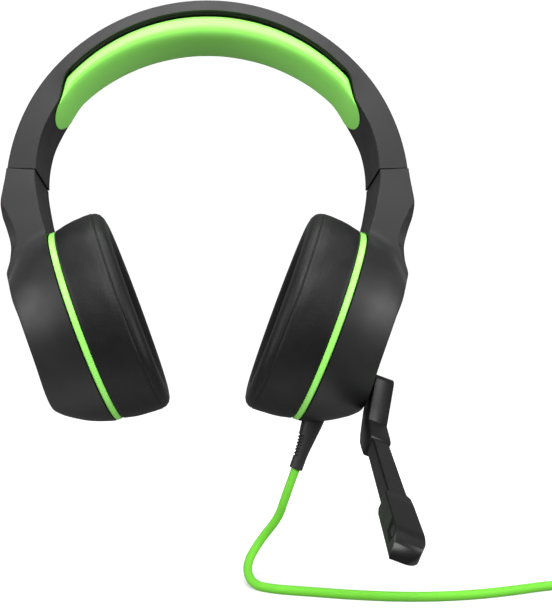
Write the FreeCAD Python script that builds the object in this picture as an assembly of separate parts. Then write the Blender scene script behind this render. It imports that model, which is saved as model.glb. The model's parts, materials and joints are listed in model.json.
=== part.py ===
import FreeCAD, Part
import math
import os

# Gaming headset, millimetres. +Z is up, +X is the microphone side, the wearer faces -Y.
# The origin is the crown of the headband pad's underside, where it rests on a head or a hook.

Vector = FreeCAD.Vector

# Headband
BAND_CENTRE_Z = -75.0
BAND_OUTER_R = 91.7
BAND_WALL = 1.8
BAND_EDGE_R = 86.2
BAND_HALF_WIDTH = 17.2
PAD_END_ANGLE = 48.0
# The inner face of each end as (angle from the top, radius), past the seam
HOUSING_INNER = [(50.6, 85.3), (52.7, 83.6), (54.9, 82.0), (57.9, 80.7), (63.0, 80.6), (68.0, 80.6), (74.8, 79.8),
                 (81.4, 78.6), (85.0, 77.8)]
# The seam between headband and arm slopes down towards the head and towards the back
SEAM_FRONT = (77.7, -17.2, -63.1)
SEAM_NORMAL = (-0.055, 0.064, 1.0)
CARRIER_R = (85.6, 86.9)
SPRING_R = (89.0, 89.8)
SPRING_ANGLE = 54.0
WIRE_R = 87.9
WIRE_RADIUS = 0.8
WIRE_Y = 12.6
WIRE_ANGLE = 76.0
COVER_TOP_Z = -20.0
COVER_SCREW_ANGLE = 58.5
COVER_SCREW_FACE_R = 80.7
COVER_SCREW_Y = (-5.5, 5.5)

# Pad under the headband
PAD_TOP_R = 85.2
PAD_HALF_WIDTH = 14.0
PAD_TIP_ANGLE = 63.0
PAD_CLEAR = 0.3

# Sliders: a steel strap fixed in each arm slides in the end of the headband
SLIDE_TILT = 8.0
SLIDE_ORIGIN = (84.2, -62.2)
SEAM_GAP = 0.5
STRAP_HALF_WIDTH = 7.0
STRAP_X = (-3.4, -2.2)
STRAP_ABOVE = 30.0
STRAP_BELOW = 14.0
STRAP_HEAD_HALF_WIDTH = 9.0
STRAP_HEAD_HEIGHT = 2.0
STRAP_CLEAR = 0.3
GUIDE_HEIGHT = 3.8
ARM_SCREW_Z = (-6.5, -11.0)

# Arm and cup. A cup is drawn in its own frame: X outward, Y backward, Z up, then tilted.
CUP_CENTRE = (56.33, -133.23)
CUP_TILT = 20.33
CUP_WALL = 2.2
RIM_N = 0.6
RING_LENGTH = 45.9
RING_WIDTH = 38.5
RING_DEPTH = 2.8
RING_BAND = 3.4
PLATE_N = 25.2
PLATE = [(24.6, 27.0), (PLATE_N, 12.0), (PLATE_N, -25.0), (23.9, -33.0), (21.8, -34.2)]
ARM_OUTER = [(92.6, -72.6), (93.2, -79.0), (92.0, -86.0), (90.2, -92.0), (88.4, -97.4), (88.1, -101.5), (88.7, -106.3)]
ARM_CORNER = (89.8, -111.2)
ARM_INNER_START = (79.8, 74.8)
ARM_INNER = [(77.6, -72.0), (75.8, -80.6), (72.9, -91.5)]
ARM_FOOT = (71.9, -95.2)
DOME = [(RIM_N, 45.9, 38.5), (9.6, 43.3, 36.2), (17.1, 39.6, 32.0), (21.0, 36.4, 28.0), (22.6, 31.0, 23.0)]

# Ear cushion
CUSHION_FACE_N = -24.5
CUSHION = [(-2.9, 45.8, 38.4), (-10.0, 47.5, 40.0), (-19.3, 48.1, 40.6), (-22.6, 47.0, 39.4), (-24.5, 43.2, 35.6)]
EAR_LENGTH = 29.0
EAR_WIDTH = 21.0

# Speaker driver
DRIVER_R = 20.0
MAGNET_R = 9.3
BAFFLE_FRONT_N = -2.4
GRILLE_HOLE_R = 1.6
BAFFLE_SCREWS = [(16.0, 31.0), (-16.0, 31.0), (16.0, -31.0), (-16.0, -31.0)]

# Microphone boom, in the plane of the outer plate
MIC_PIVOT = (-4.7, -19.9)
MIC_HUB_R = 6.0
MIC_PIN_R = 2.0
MIC_PIN_CLEAR = 0.05
MIC_N = (26.6, 35.6)
BOOM_ORIGIN = (-44.7, -46.1)
BOOM_ANGLE = 15.94
BOOM_LENGTH = 51.5
BOOM_HALF_HEIGHT = 3.3
BOOM_N = (27.4, 34.9)
BOOM_SOCKET = 6.0
TIP_N = (26.0, 36.0)
TIP_LENGTH = 39.5
CAPSULE_R = 2.9
CAPSULE_S = 76.0

# Volume wheel at the back edge of the microphone-side cup
WHEEL_CENTRE = (27.5, -11.0)
WHEEL_R = 11.0
WHEEL_N = (8.2, 11.8)
WHEEL_SHAFT_R = 1.5

# Strain relief, cable and plug
RELIEF_N = 7.7
RELIEF_Z = (-40.5, -67.0)
RELIEF_SECTIONS = [(-40.5, 5.2), (-58.0, 3.3), (-67.0, 3.05)]
CABLE_R = 2.0
CORE_LENGTH = 12.0
FLOOR_Z = -251.0
COIL_CENTRE = (206.0, 20.0)
COIL_TURN_R = (19.0, 23.0, 27.0)
COIL_LAYERS = 4
PLUG_R = 4.0
PLUG_LENGTH = 20.0
CONTACT_R = 1.75
CONTACT_LENGTH = 14.0

# The cable's lead runs from the strain relief down to the floor and along it to the coil
CABLE_ROUTE = [
    (35.4, 0.6, -211.6),
    (32.8, 5.2, -221.4),
    (24.4, 10.8, -232.6),
    (17.4, 4.2, -242.4),
    (19.6, -5.6, -249.0),
    (29.4, -14.0, -249.0),
    (43.0, -18.0, -249.0),
    (60.0, -23.6, -249.0),
    (82.0, -27.6, -249.0),
    (105.0, -26.0, -249.0),
    (128.0, -18.2, -249.0),
    (150.0, -7.4, -249.0),
    (171.0, -1.6, -249.0),
    (188.0, -3.6, -249.0),
    (200.0, -6.6, -249.0),
]
TAIL_ROUTE = [
    (233.0, 22.0, -237.0),
    (233.4, 34.0, -238.2),
    (235.0, 46.0, -241.6),
    (237.6, 57.6, -245.4),
    (239.4, 69.0, -247.0),
    (239.4, 79.0, -247.0),
]
PLUG_HEADING = (0.0, 1.0, 0.0)

LEFT_AND_RIGHT = ("left", "right")


def save(name, shape):
    """Write one named sub-part."""
    if not shape.isValid():
        print("NOT VALID:", name)
    shape.exportStep("parts/" + name + ".step")


def save_pair(name, shape):
    """Write a right-hand sub-part and its mirror image on the left."""
    save(name + "_right", shape)
    save(name + "_left", shape.mirror(Vector(0, 0, 0), Vector(1, 0, 0)))


# ---- shapes drawn in an XZ plane and given a thickness along Y ----

def in_xz(point):
    return Vector(point[0], 0, point[1])


def line(start, end):
    return Part.LineSegment(in_xz(start), in_xz(end)).toShape()


def smooth(points):
    """A smooth curve through the points."""
    curve = Part.BSplineCurve()
    curve.interpolate([in_xz(p) for p in points])
    return curve.toShape()


def on_band(radius, angle):
    """The point at this radius from the band's centre, at an angle from the top towards +X."""
    turn = math.radians(angle)
    return (radius * math.sin(turn), BAND_CENTRE_Z + radius * math.cos(turn))


def band_arc(radius, angle_from, angle_to):
    middle = (angle_from + angle_to) / 2.0
    ends = [in_xz(on_band(radius, a)) for a in (angle_from, middle, angle_to)]
    return Part.Arc(*ends).toShape()


def slab(edges, y_low, y_high):
    """Edges in the XZ plane that close a loop, extruded from y_low to y_high."""
    loop = Part.Wire(Part.__sortEdges__(edges))
    solid = Part.Face(loop).extrude(Vector(0, y_high - y_low, 0))
    solid.translate(Vector(0, y_low, 0))
    return solid


def polygon_slab(points, y_low, y_high):
    edges = [line(a, b) for a, b in zip(points, points[1:] + points[:1])]
    return slab(edges, y_low, y_high)


def sector(r_in, r_out, angle, y_half, y_middle=0.0):
    """A strip of the band between two radii, symmetric about the top."""
    edges = [
        band_arc(r_out, -angle, angle),
        band_arc(r_in, -angle, angle),
        line(on_band(r_in, angle), on_band(r_out, angle)),
        line(on_band(r_in, -angle), on_band(r_out, -angle)),
    ]
    return slab(edges, y_middle - y_half, y_middle + y_half)


def box(x, y, z):
    """A block between two corners given as (low, high) along each axis."""
    size = (x[1] - x[0], y[1] - y[0], z[1] - z[0])
    return Part.makeBox(size[0], size[1], size[2], Vector(x[0], y[0], z[0]))


def joined(shapes):
    whole = shapes[0]
    for shape in shapes[1:]:
        whole = whole.fuse(shape)
    return whole.removeSplitter()


def without(shape, tools):
    for tool in tools:
        shape = shape.cut(tool)
    return shape


# ---- frames ----

def place_slider(shape):
    """From the slider's frame (X outward, Z up along the strap) to the right-hand seam."""
    moved = shape.copy()
    place = FreeCAD.Placement(in_xz(SLIDE_ORIGIN), FreeCAD.Rotation(Vector(0, 1, 0), -SLIDE_TILT))
    moved.Placement = place.multiply(moved.Placement)
    return moved


def cup_place():
    return FreeCAD.Placement(in_xz(CUP_CENTRE), FreeCAD.Rotation(Vector(0, 1, 0), CUP_TILT))


def place_cup(shape):
    """From the cup's frame (X outward, Y backward, Z up) to the right-hand ear."""
    moved = shape.copy()
    moved.Placement = cup_place().multiply(moved.Placement)
    return moved


def cup_point(n, z):
    """The XZ position of a point in the middle plane of the right-hand cup."""
    spot = cup_place().multVec(Vector(n, 0, z))
    return (spot.x, spot.z)


# ---- shapes drawn in a cup's frame ----

def oval(n, half_length, half_width):
    ellipse = Part.Ellipse(Vector(n, 0, half_length), Vector(n, half_width, 0), Vector(n, 0, 0))
    return Part.Wire(ellipse.toShape())


def oval_loft(sections):
    return Part.makeLoft([oval(*s) for s in sections], True)


def oval_disc(n_low, n_high, half_length, half_width):
    return Part.Face(oval(n_low, half_length, half_width)).extrude(Vector(n_high - n_low, 0, 0))


def disc(n_low, n_high, radius, centre=(0.0, 0.0)):
    """A round disc whose axis runs outward; centre is (Y, Z) in the cup's frame."""
    start = Vector(n_low, centre[0], centre[1])
    return Part.makeCylinder(radius, n_high - n_low, start, Vector(1, 0, 0))


def turned(profile, centre=(0.0, 0.0)):
    """A profile of (radius, n) points turned about the outward axis."""
    points = [Vector(n, r, 0) for r, n in profile]
    face = Part.Face(Part.makePolygon(points + points[:1]))
    solid = face.revolve(Vector(0, 0, 0), Vector(1, 0, 0), 360)
    solid.translate(Vector(0, centre[0], centre[1]))
    return solid


def plate_outline(points, n_low, n_high):
    """An outline of (Y, Z) points in the cup's frame, thickened outward."""
    corners = [Vector(n_low, p[0], p[1]) for p in points]
    face = Part.Face(Part.makePolygon(corners + corners[:1]))
    return face.extrude(Vector(n_high - n_low, 0, 0))


# ---- headband ----

def housing_curve(by=0.0):
    """The inner face of the right-hand end of the headband, moved outward by this much."""
    return [on_band(radius + by, angle) for angle, radius in HOUSING_INNER]


def mirrored_points(points):
    return [(-x, z) for x, z in points]


def mirrored(shape):
    return shape.mirror(Vector(0, 0, 0), Vector(1, 0, 0))


def seam_block(side, gap=0.0):
    """Everything below (-1) or above (+1) the right-hand seam, starting this far from it."""
    block = Part.makeBox(120.0, 120.0, 60.0, Vector(-60.0, -60.0, gap if side > 0 else -60.0 - gap))
    block.Placement = FreeCAD.Placement(Vector(*SEAM_FRONT), FreeCAD.Rotation(Vector(0, 0, 1), Vector(*SEAM_NORMAL)))
    return block


def band_profile(outer_r, edge_r, inner_by, y_half):
    """The side view of the headband between its outer circle and its inner edge, cut off at the seams."""
    right = [on_band(edge_r, PAD_END_ANGLE)] + housing_curve(inner_by)
    left = mirrored_points(right)
    end = HOUSING_INNER[-1][0]
    edges = [
        band_arc(outer_r, -end, end),
        band_arc(edge_r, -PAD_END_ANGLE, PAD_END_ANGLE),
        smooth(right),
        smooth(left),
        line(right[-1], on_band(outer_r, end)),
        line(left[-1], on_band(outer_r, -end)),
    ]
    below = seam_block(-1)
    return without(slab(edges, -y_half, y_half), [below, mirrored(below)])


def screw_axis(angle, radius_from, radius_to, radius, y):
    """A round bar along a band radius."""
    start = on_band(radius_from, angle)
    turn = math.radians(angle)
    direction = Vector(math.sin(turn), 0, math.cos(turn))
    return Part.makeCylinder(radius, radius_to - radius_from, Vector(start[0], y, start[1]), direction)


def cover_screw(y):
    """A screw under the pad's tongue that holds the inner cover to a boss of the shell."""
    face = COVER_SCREW_FACE_R
    head = screw_axis(COVER_SCREW_ANGLE, face + 0.4, face + 1.2, 2.0, y)
    shaft = screw_axis(COVER_SCREW_ANGLE, face + 1.2, face + 6.5, 1.0, y)
    return joined([head, shaft])


def make_headband():
    inner_half = BAND_HALF_WIDTH - BAND_WALL
    hollow_r = BAND_OUTER_R - BAND_WALL
    side = band_profile(BAND_OUTER_R, BAND_EDGE_R, 0.0, BAND_HALF_WIDTH)
    hollow = band_profile(hollow_r, BAND_EDGE_R - 6.0, -6.0, inner_half)
    shell = side.cut(hollow)
    cover_wall = band_profile(hollow_r, BAND_EDGE_R, 0.0, inner_half - 0.05)
    cover_void = band_profile(hollow_r + 4.0, BAND_EDGE_R, BAND_WALL, inner_half + 1.0)
    only_right = box((30.0, 100.0), (-20.0, 20.0), (-80.0, COVER_TOP_Z))
    cover = cover_wall.cut(cover_void).common(only_right)

    bosses = []
    screws = []
    for y in COVER_SCREW_Y:
        boss = screw_axis(COVER_SCREW_ANGLE, COVER_SCREW_FACE_R + BAND_WALL + 0.4, BAND_OUTER_R - 0.6, 2.4, y)
        bosses += [boss, mirrored(boss)]
        screws += [cover_screw(y), mirrored(cover_screw(y))]
    save("headband_shell", without(joined([shell] + bosses), screws))
    save_pair("headband_cover", without(cover, screws))
    save("headband_screws", Part.makeCompound(screws))

    save("spring_band", sector(SPRING_R[0], SPRING_R[1], SPRING_ANGLE, 9.0))
    carrier_half = inner_half - 0.2
    save("pad_carrier", sector(CARRIER_R[0], CARRIER_R[1], PAD_END_ANGLE - 1.0, carrier_half))
    save("headband_pad", make_pad())
    wire = sector(WIRE_R - WIRE_RADIUS, WIRE_R + WIRE_RADIUS, WIRE_ANGLE, WIRE_RADIUS, WIRE_Y)
    save("crossover_wire", wire)

    cavity = band_profile(hollow_r - 0.1, BAND_EDGE_R, BAND_WALL + 0.3, inner_half - 0.1)
    block = place_slider(box((-30.0, 30.0), (-20.0, 20.0), (2.0, 2.0 + GUIDE_HEIGHT)))
    slot = strap_space(STRAP_CLEAR)
    save_pair("slider_guide", cavity.common(block).cut(slot))
    save_pair("detent_spring", make_detent_spring())


def make_pad():
    """A crescent that tapers to a tongue on the inner face of each headband end."""
    tip = on_band(79.9, PAD_TIP_ANGLE)
    under_tip = (tip[0] - 1.4, tip[1] + 0.9)
    top_angle = PAD_END_ANGLE - 1.0
    top_end = on_band(PAD_TOP_R, top_angle)
    blank = [top_end, on_band(PAD_TOP_R, PAD_TIP_ANGLE), tip, under_tip]
    edges = [band_arc(PAD_TOP_R, -top_angle, top_angle)]
    for a, b in zip(blank, blank[1:]):
        edges += [line(a, b), line((-a[0], a[1]), (-b[0], b[1]))]
    left_under = (-under_tip[0], under_tip[1])
    edges.append(Part.Arc(in_xz(under_tip), in_xz((0.0, 0.0)), in_xz(left_under)).toShape())
    pad = slab(edges, -PAD_HALF_WIDTH, PAD_HALF_WIDTH)
    housing = band_profile(BAND_OUTER_R, BAND_EDGE_R, -PAD_CLEAR, BAND_HALF_WIDTH)
    return pad.cut(housing)


def strap_space(clear):
    """The room that a strap takes as it slides, with clearance all round."""
    x = (STRAP_X[0] - clear, STRAP_X[1] + clear)
    y = (-STRAP_HALF_WIDTH - clear, STRAP_HALF_WIDTH + clear)
    return place_slider(box(x, y, (-STRAP_BELOW, STRAP_ABOVE)))


def make_strap():
    neck = box(STRAP_X, (-STRAP_HALF_WIDTH, STRAP_HALF_WIDTH), (-STRAP_BELOW, STRAP_ABOVE))
    head_z = (STRAP_ABOVE - STRAP_HEAD_HEIGHT, STRAP_ABOVE)
    head = box(STRAP_X, (-STRAP_HEAD_HALF_WIDTH, STRAP_HEAD_HALF_WIDTH), head_z)
    notches = []
    for step in range(8):
        z = 4.0 + 2.8 * step
        for y in (-STRAP_HALF_WIDTH, STRAP_HALF_WIDTH):
            start = Vector(STRAP_X[0] - 1.0, y, z)
            notches.append(Part.makeCylinder(0.7, 3.2, start, Vector(1, 0, 0)))
    holes = [Part.makeCylinder(1.0, 6.0, Vector(-6.0, 0, z), Vector(1, 0, 0)) for z in ARM_SCREW_Z]
    return place_slider(without(joined([neck, head]), notches + holes))


def make_detent_spring():
    """A bent leaf that stands on the guide and bears towards the strap."""
    thick = 0.4
    low = GUIDE_HEIGHT + 2.4
    bend = [(0.6, low), (STRAP_X[1] + STRAP_CLEAR, low + 6.0), (0.6, low + 12.0)]
    back = [(x + thick, z) for x, z in reversed(bend)]
    return place_slider(polygon_slab(bend + back, -3.0, 3.0))


# ---- arm and cup ----

def arm_profile(outer_in, inner_in, y_half):
    """Side view of an arm and the strip that it carries across the cup, with each wall moved in."""
    outer = [on_band(BAND_OUTER_R, 80.0)] + ARM_OUTER + [ARM_CORNER]
    outer = [(x - outer_in, z) for x, z in outer]
    inner = [on_band(*ARM_INNER_START)] + ARM_INNER + [ARM_FOOT]
    inner = [(x + inner_in, z) for x, z in inner]
    strip = [cup_point(n - outer_in, z + (outer_in if z < 0.0 else 0.0)) for n, z in PLATE]
    strip.append(cup_point(RIM_N + 1.0, PLATE[-1][1] + outer_in))
    edges = [smooth(outer), smooth(inner), line(inner[0], outer[0])]
    corners = [outer[-1]] + strip + [inner[-1]]
    edges += [line(a, b) for a, b in zip(corners, corners[1:])]
    return slab(edges, -y_half, y_half)


def dome_inside():
    """The hollow of the cup."""
    sections = [(n - CUP_WALL, a - CUP_WALL, b - CUP_WALL) for n, a, b in DOME]
    sections[0] = (RIM_N - 1.0, RING_LENGTH - CUP_WALL, RING_WIDTH - CUP_WALL)
    return place_cup(oval_loft(sections))


def make_cup_shell():
    """The outer shell of the right-hand side: arm, outer strip and dome, open towards the ear."""
    arm = arm_profile(0.0, 0.0, BAND_HALF_WIDTH).cut(seam_block(1, -SEAM_GAP))
    outside = joined([place_cup(oval_loft(DOME)), arm])
    arm_hollow = arm_profile(CUP_WALL, -4.0, BAND_HALF_WIDTH - CUP_WALL).cut(seam_block(1, -SEAM_GAP - CUP_WALL))
    shell = without(outside, [dome_inside(), arm_hollow])

    mount = place_slider(box((STRAP_X[1], 7.0), (-6.0, 6.0), (-STRAP_BELOW, -4.0)))
    posts = [place_cup(disc(RIM_N, PLATE_N, 3.0, spot)) for spot in BAFFLE_SCREWS]
    shell = joined([shell] + [bar.common(outside) for bar in [mount] + posts])

    below_rim = place_cup(box((-40.0, RIM_N), (-60.0, 60.0), (-80.0, 46.6)))
    screw_holes = [place_cup(disc(RIM_N - 1.0, 9.0, 1.2, spot)) for spot in BAFFLE_SCREWS]
    strap_holes = [place_slider(arm_screw(z)) for z in ARM_SCREW_Z]
    return without(shell, [below_rim, strap_space(0.0)] + screw_holes + strap_holes)


def arm_screw(z):
    """A screw through the strap into the arm, head on the strap's inner side."""
    head = Part.makeCylinder(1.9, 1.2, Vector(STRAP_X[0] - 1.2, 0, z), Vector(1, 0, 0))
    shaft = Part.makeCylinder(1.0, 6.2, Vector(STRAP_X[0], 0, z), Vector(1, 0, 0))
    return joined([head, shaft])


def make_arm_cover():
    """The inner wall of the arm, closed in from the head's side."""
    y_half = BAND_HALF_WIDTH - CUP_WALL - 0.1
    wall = arm_profile(CUP_WALL, 0.0, y_half).cut(seam_block(1, -SEAM_GAP - CUP_WALL))
    void = arm_profile(-20.0, CUP_WALL, y_half + 1.0)
    above_rim = place_cup(box((RIM_N + 0.2, 60.0), (-30.0, 30.0), (44.5, 120.0)))
    return wall.cut(void).common(above_rim)


def make_baffle():
    """The plate that carries the driver and closes the cup behind the cushion."""
    flange = oval_disc(0.0, RIM_N, RING_LENGTH - 0.8, RING_WIDTH - 0.8)
    step = RING_BAND + 0.2
    plate = oval_disc(BAFFLE_FRONT_N, RIM_N, RING_LENGTH - step, RING_WIDTH - step)
    holes = [disc(BAFFLE_FRONT_N - 1.0, 1.0, GRILLE_HOLE_R)]
    for count, radius in ((6, 6.0), (12, 12.0)):
        for index in range(count):
            turn = 2.0 * math.pi * index / count
            spot = (radius * math.cos(turn), radius * math.sin(turn))
            holes.append(disc(BAFFLE_FRONT_N - 1.0, 1.0, GRILLE_HOLE_R, spot))
    for spot in BAFFLE_SCREWS:
        holes.append(baffle_screw(spot))
    return without(joined([flange, plate]), holes)


def baffle_screw(spot):
    head = disc(BAFFLE_FRONT_N, BAFFLE_FRONT_N + 1.2, 2.2, spot)
    shaft = disc(BAFFLE_FRONT_N + 1.2, 8.0, 1.2, spot)
    return joined([head, shaft])


def make_ear_side():
    """Everything that both cups share, written for the right and mirrored to the left."""
    ring = oval_disc(-RING_DEPTH, 0.0, RING_LENGTH, RING_WIDTH)
    ring_hole = oval_disc(-RING_DEPTH - 1.0, 1.0, RING_LENGTH - RING_BAND, RING_WIDTH - RING_BAND)
    save_pair("trim_ring", place_cup(ring.cut(ring_hole)))
    save_pair("baffle", place_cup(make_baffle()))
    save_pair("baffle_screws", place_cup(Part.makeCompound([baffle_screw(s) for s in BAFFLE_SCREWS])))

    frame = turned([(17.0, 0.6), (DRIVER_R, 0.6), (DRIVER_R, 2.2), (10.6, 7.2), (MAGNET_R, 7.2),
                    (MAGNET_R, 6.0), (17.0, 2.4)])
    save_pair("driver_frame", place_cup(frame))
    save_pair("driver_magnet", place_cup(disc(5.4, 11.0, MAGNET_R)))
    diaphragm = turned([(0.0, 2.0), (5.0, 2.6), (8.0, 3.6), (16.9, 1.0), (16.9, 1.4), (8.0, 4.0),
                        (5.0, 3.0), (0.0, 2.4)])
    save_pair("driver_diaphragm", place_cup(diaphragm))

    opening = oval_disc(CUSHION_FACE_N - 1.0, 0.0, EAR_LENGTH, EAR_WIDTH)
    recess = oval_disc(-4.0, 0.0, 42.0, 34.6)
    save_pair("ear_cushion", place_cup(without(oval_loft(CUSHION), [opening, recess])))
    clip = oval_disc(-3.8, BAFFLE_FRONT_N, 41.8, 34.4)
    clip_hole = oval_disc(-5.0, 0.0, EAR_LENGTH - 2.0, EAR_WIDTH - 2.0)
    save_pair("cushion_clip_plate", place_cup(clip.cut(clip_hole)))
    save_pair("ear_scrim", place_cup(oval_disc(-4.4, -3.8, EAR_LENGTH - 0.2, EAR_WIDTH - 0.2)))

    save_pair("slider_strap", make_strap())
    save_pair("arm_screws", place_slider(Part.makeCompound([arm_screw(z) for z in ARM_SCREW_Z])))
    save_pair("arm_cover", make_arm_cover())


def make_shells():
    """The two outer shells: the right one also holds the boom, the wheel and the cable."""
    shell = make_cup_shell()
    save("cup_shell_left", shell.mirror(Vector(0, 0, 0), Vector(1, 0, 0)))
    y, z = WHEEL_CENTRE
    slot_n = (WHEEL_N[0] - 0.6, WHEEL_N[1] + 0.6)
    slot_z = (z - WHEEL_R - 0.5, z + WHEEL_R + 0.5)
    slot = box(slot_n, (y - 3.0, y + 14.0), slot_z)
    pin_hole = disc(16.0, 30.0, MIC_PIN_R, MIC_PIVOT)
    tools = [place_cup(tool) for tool in (slot, pin_hole, relief_hole())]
    save("cup_shell_right", without(shell, tools))


# ---- microphone boom ----

def boom_point(along, across):
    """A point in the boom's plane: along it from the collar, and across it towards its underside."""
    turn = math.radians(BOOM_ANGLE)
    y = BOOM_ORIGIN[0] - along * math.cos(turn) + across * math.sin(turn)
    z = BOOM_ORIGIN[1] - along * math.sin(turn) - across * math.cos(turn)
    return (y, z)


def boom_outline(points, n_low, n_high):
    return plate_outline([boom_point(*p) for p in points], n_low, n_high)


def make_boom():
    h = BOOM_HALF_HEIGHT
    arm = boom_outline([(-BOOM_SOCKET, -h), (BOOM_LENGTH, -h), (BOOM_LENGTH, h), (-BOOM_SOCKET, h)], *BOOM_N)
    bracket = plate_outline([(-9.5, -15.7), (-23.9, -34.9), (-38.6, -39.9), (-41.9, -41.4), (-39.6, -49.9),
                             (-28.0, -46.8), (-19.3, -43.3), (-8.0, -33.0), (0.1, -22.9)], *MIC_N)
    eye = disc(MIC_N[0], MIC_N[1], MIC_HUB_R, MIC_PIVOT)
    bore = disc(MIC_N[0] - 1.0, MIC_N[1] + 1.0, MIC_PIN_R + MIC_PIN_CLEAR, MIC_PIVOT)
    well = disc(33.2, MIC_N[1] + 1.0, 4.2, MIC_PIVOT)
    save("mic_bracket", place_cup(without(joined([bracket, eye]), [bore, well, arm])))
    save("mic_boom", place_cup(arm))

    shank = disc(21.0, 33.4, MIC_PIN_R, MIC_PIVOT)
    head = disc(33.4, 34.4, 3.8, MIC_PIVOT)
    save("mic_pivot_pin", place_cup(joined([shank, head])))
    save("mic_pivot_cap", place_cup(disc(34.8, MIC_N[1], 4.2, MIC_PIVOT)))
    hub = disc(PLATE_N, MIC_N[0] - 0.2, MIC_HUB_R, MIC_PIVOT)
    save("mic_hub", place_cup(hub.cut(disc(PLATE_N - 1.0, MIC_N[0], MIC_PIN_R, MIC_PIVOT))))

    start = BOOM_LENGTH
    end = start + TIP_LENGTH
    top_end = end - 11.0
    corners = [boom_point(*p) for p in ((start, -4.1), (top_end, -4.1), (end, 4.3), (start, 4.3))]
    middle = boom_point(end - 3.2, -1.2)
    flat = [Vector(TIP_N[0], p[0], p[1]) for p in corners]
    nose = Part.Arc(flat[1], Vector(TIP_N[0], middle[0], middle[1]), flat[2]).toShape()
    sides = [Part.LineSegment(flat[a], flat[b]).toShape() for a, b in ((0, 1), (2, 3), (3, 0))]
    outline = Part.Face(Part.Wire(Part.__sortEdges__([nose] + sides)))
    tip = outline.extrude(Vector(TIP_N[1] - TIP_N[0], 0, 0))
    spot = boom_point(CAPSULE_S, 0.0)
    pocket = disc(TIP_N[0] - 1.0, 31.2, CAPSULE_R, spot)
    save("mic_tip", place_cup(tip.cut(pocket)))
    save("mic_capsule", place_cup(disc(28.0, 31.2, CAPSULE_R, spot)))
    save("mic_port_mesh", place_cup(disc(27.3, 28.0, CAPSULE_R, spot)))


# ---- volume control ----

def make_volume_control():
    y, z = WHEEL_CENTRE
    board = box((0.8, 2.2), (21.0, 31.0), (z - 9.0, z + 9.0))
    save("control_board", place_cup(board))
    body = disc(2.2, 7.4, 4.5, WHEEL_CENTRE)
    shaft = disc(7.4, WHEEL_N[1] + 1.0, WHEEL_SHAFT_R, WHEEL_CENTRE)
    save("volume_pot", place_cup(joined([body, shaft])))
    wheel = disc(WHEEL_N[0], WHEEL_N[1], WHEEL_R, WHEEL_CENTRE)
    bore = disc(WHEEL_N[0] - 1.0, WHEEL_N[1] + 1.0, WHEEL_SHAFT_R + MIC_PIN_CLEAR, WHEEL_CENTRE)
    grooves = []
    for index in range(24):
        turn = 2.0 * math.pi * index / 24
        spot = (y + WHEEL_R * math.cos(turn), z + WHEEL_R * math.sin(turn))
        grooves.append(disc(WHEEL_N[0] - 1.0, WHEEL_N[1] + 1.0, 0.5, spot))
    save("volume_wheel", place_cup(without(wheel, [bore] + grooves)))


# ---- cable ----

def disc_down(z_from, z_to, radius):
    """A round bar along the strain relief's axis, in the cup's frame."""
    return Part.makeCylinder(radius, z_from - z_to, Vector(RELIEF_N, 0, z_from), Vector(0, 0, -1))


def make_strain_relief():
    top = RELIEF_SECTIONS[0][0]
    end = RELIEF_SECTIONS[-1][0]
    parts = [disc_down(top + 3.4, top + 2.2, 5.6), disc_down(top + 2.2, top, 4.0)]
    for (z, radius), (next_z, next_radius) in zip(RELIEF_SECTIONS, RELIEF_SECTIONS[1:]):
        start = Vector(RELIEF_N, 0, z)
        parts.append(Part.makeCone(radius, next_radius, z - next_z, start, Vector(0, 0, -1)))
    bore = disc_down(end + CORE_LENGTH, end - 1.0, CABLE_R)
    relief = place_cup(joined(parts).cut(bore))
    wall = place_cup(oval_loft(DOME)).cut(dome_inside())
    wall = wall.cut(place_cup(relief_hole()))
    return relief.cut(wall)


def relief_hole():
    top = RELIEF_SECTIONS[0][0]
    return disc_down(top + 6.0, top - 4.0, 4.0)


def tube(name, points, radius):
    """A round tube of straight runs joined by tangent arcs."""
    points = [Vector(*p) for p in points]
    edges = []
    last = points[0]
    bends = []
    for before, corner, after in zip(points, points[1:], points[2:]):
        into = (corner - before).normalize()
        out = (after - corner).normalize()
        shorter = min((corner - before).Length, (after - corner).Length)
        half_turn = into.getAngle(out) / 2.0
        cut = 0.45 * shorter
        bend = cut / math.tan(half_turn)
        bends.append(bend)
        start = corner - into * cut
        end = corner + out * cut
        centre_side = (out - into).normalize()
        middle = corner + centre_side * (bend / math.cos(half_turn) - bend)
        edges.append(Part.LineSegment(last, start).toShape())
        edges.append(Part.Arc(start, middle, end).toShape())
        last = end
    edges.append(Part.LineSegment(last, points[-1]).toShape())
    path = Part.Wire(edges)
    first = (points[1] - points[0]).normalize()
    section = Part.Wire(Part.makeCircle(radius, points[0], first))
    solid = path.makePipeShell([section], True, False, 2)
    ideal = math.pi * radius * radius * path.Length
    print(name, "bend radii", [round(b, 1) for b in bends], "length", round(path.Length, 1))
    print(name, "volume over section times length", round(solid.Volume / ideal, 4))
    save(name, solid)
    return path.Length


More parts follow.
